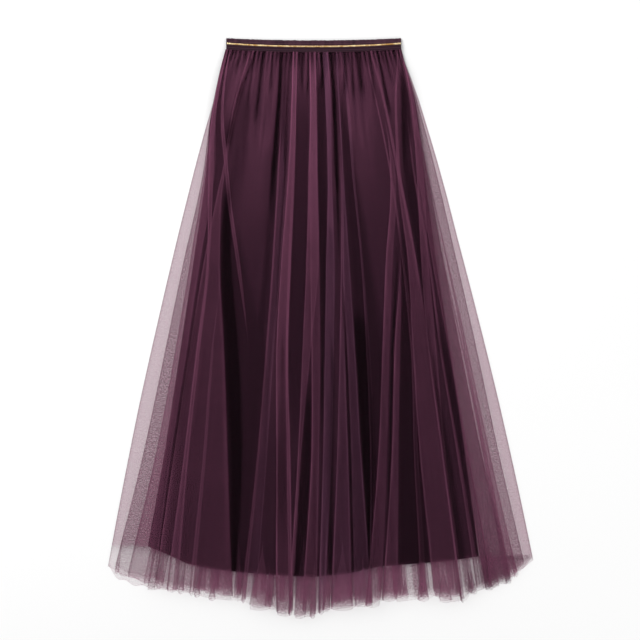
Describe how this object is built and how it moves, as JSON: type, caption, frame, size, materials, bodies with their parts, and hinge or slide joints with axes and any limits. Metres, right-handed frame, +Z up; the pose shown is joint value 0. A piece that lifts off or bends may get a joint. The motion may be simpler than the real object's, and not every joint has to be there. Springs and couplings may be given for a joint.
{
  "type": "tulle skirt",
  "caption": "Full-length gathered tulle skirt laid flat, with two net layers over an opaque lining, an elastic waistband and a fine metallic piping",
  "frame": {"origin": "the middle of the laid skirt's footprint, on the surface it lies on", "axes": "+X across the skirt towards its right side in the picture, +Y from the hem up to the waist, +Z up from the surface"},
  "size_m": [0.68, 0.925, 0.023],
  "materials": {
    "outer_tulle": "sheer plum net",
    "inner_tulle": "sheer dark plum net",
    "lining_satin": "soft dark satin",
    "ribbed_elastic": "ribbed matt elastic",
    "gold_cord": "twisted metallic thread"
  },
  "bodies": {
    "root": {"waistband": "ribbed_elastic", "gold_piping": "gold_cord", "tulle_outer_front": "outer_tulle", "tulle_outer_back": "outer_tulle", "tulle_inner_front": "inner_tulle", "tulle_inner_back": "inner_tulle", "lining_front": "lining_satin", "lining_back": "lining_satin"}
  },
  "joints": []
}
